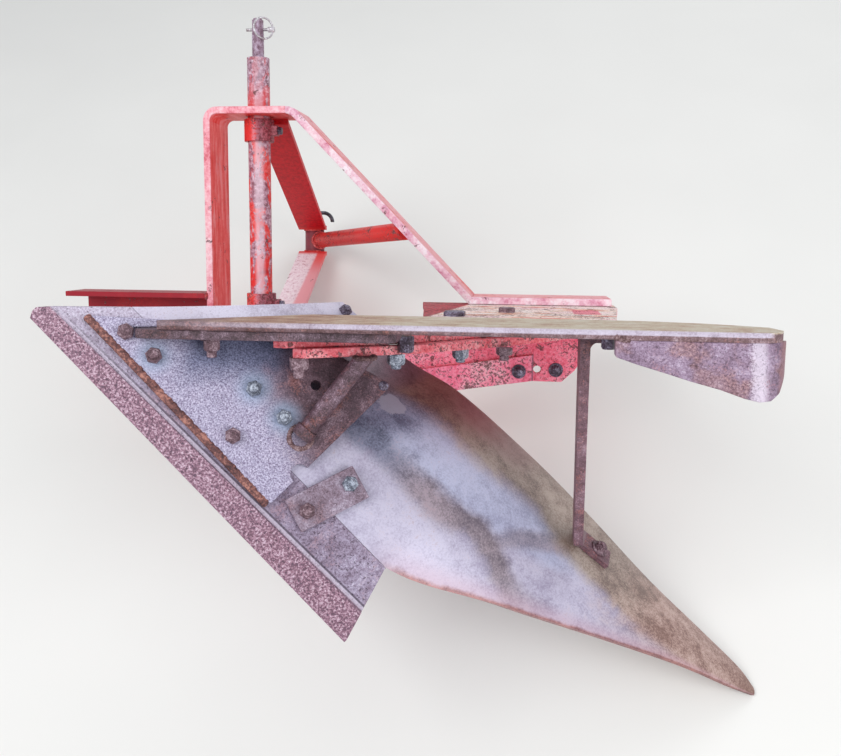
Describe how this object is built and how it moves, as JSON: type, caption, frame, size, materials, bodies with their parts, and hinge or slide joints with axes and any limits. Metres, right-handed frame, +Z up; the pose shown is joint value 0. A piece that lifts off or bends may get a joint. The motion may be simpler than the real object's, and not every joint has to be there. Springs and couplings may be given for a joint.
{
  "type": "moldboard plough",
  "caption": "Single-bottom mounted moldboard plough with share, frog, landside, red bar frame, cross shaft and mast for a three-point hitch, lying on its side.",
  "frame": {"origin": "middle of the bounding box at the ground, with the plough lying on its right side as it is parked", "axes": "+X runs from the share point to the tail of the moldboard, +Y from the sole towards the mast along the ground, +Z up from the ground"},
  "size_m": [1.256, 1.1706, 0.6551],
  "materials": {
    "red_paint": "faded and chipped red paint over steel",
    "worn_steel": "soil-worn steel with brown rust film",
    "rusty_iron": "brown rusted iron",
    "dark_steel": "dark oxidised steel"
  },
  "bodies": {
    "plough": {"share": "worn_steel", "moldboard": "worn_steel", "frog_plate": "rusty_iron", "frog_web": "rusty_iron", "frog_rod": "rusty_iron", "joint_strap": "rusty_iron", "landside_bar": "rusty_iron", "landside_heel": "rusty_iron", "moldboard_brace": "rusty_iron", "standard_left": "red_paint", "standard_right": "red_paint", "rear_bracket": "red_paint", "right_brace": "red_paint", "frame_front": "red_paint", "frame_left": "red_paint", "frame_diagonal": "red_paint", "frame_tail": "red_paint", "frame_right": "red_paint", "coulter_arm": "red_paint", "collar_left": "red_paint", "collar_right": "red_paint", "mast_arm_left": "red_paint", "mast_arm_right": "red_paint", "mast_spacer": "red_paint", "mast_brace": "red_paint"},
    "cross_shaft": {"cross_tube": "red_paint"},
    "linch_left": {"linch_pin_left": "dark_steel"},
    "linch_right": {"linch_pin_right": "dark_steel"},
    "top_pin": {"top_link_pin": "dark_steel"}
  },
  "joints": [
    {"name": "shaft_slide", "type": "slide", "parent": "plough", "child": "cross_shaft", "axis": [0.0049, -0.6351, -0.7724], "range_m": [-0.05, 0.08]},
    {"name": "linch_left_slide", "type": "slide", "parent": "cross_shaft", "child": "linch_left", "axis": [1, 0, 0.0064], "range_m": [0, 0.06]},
    {"name": "linch_right_slide", "type": "slide", "parent": "cross_shaft", "child": "linch_right", "axis": [1, 0, 0.0064], "range_m": [0, 0.06]},
    {"name": "top_pin_slide", "type": "slide", "parent": "plough", "child": "top_pin", "axis": [-0.0049, 0.6351, 0.7724], "range_m": [0, 0.12]}
  ]
}
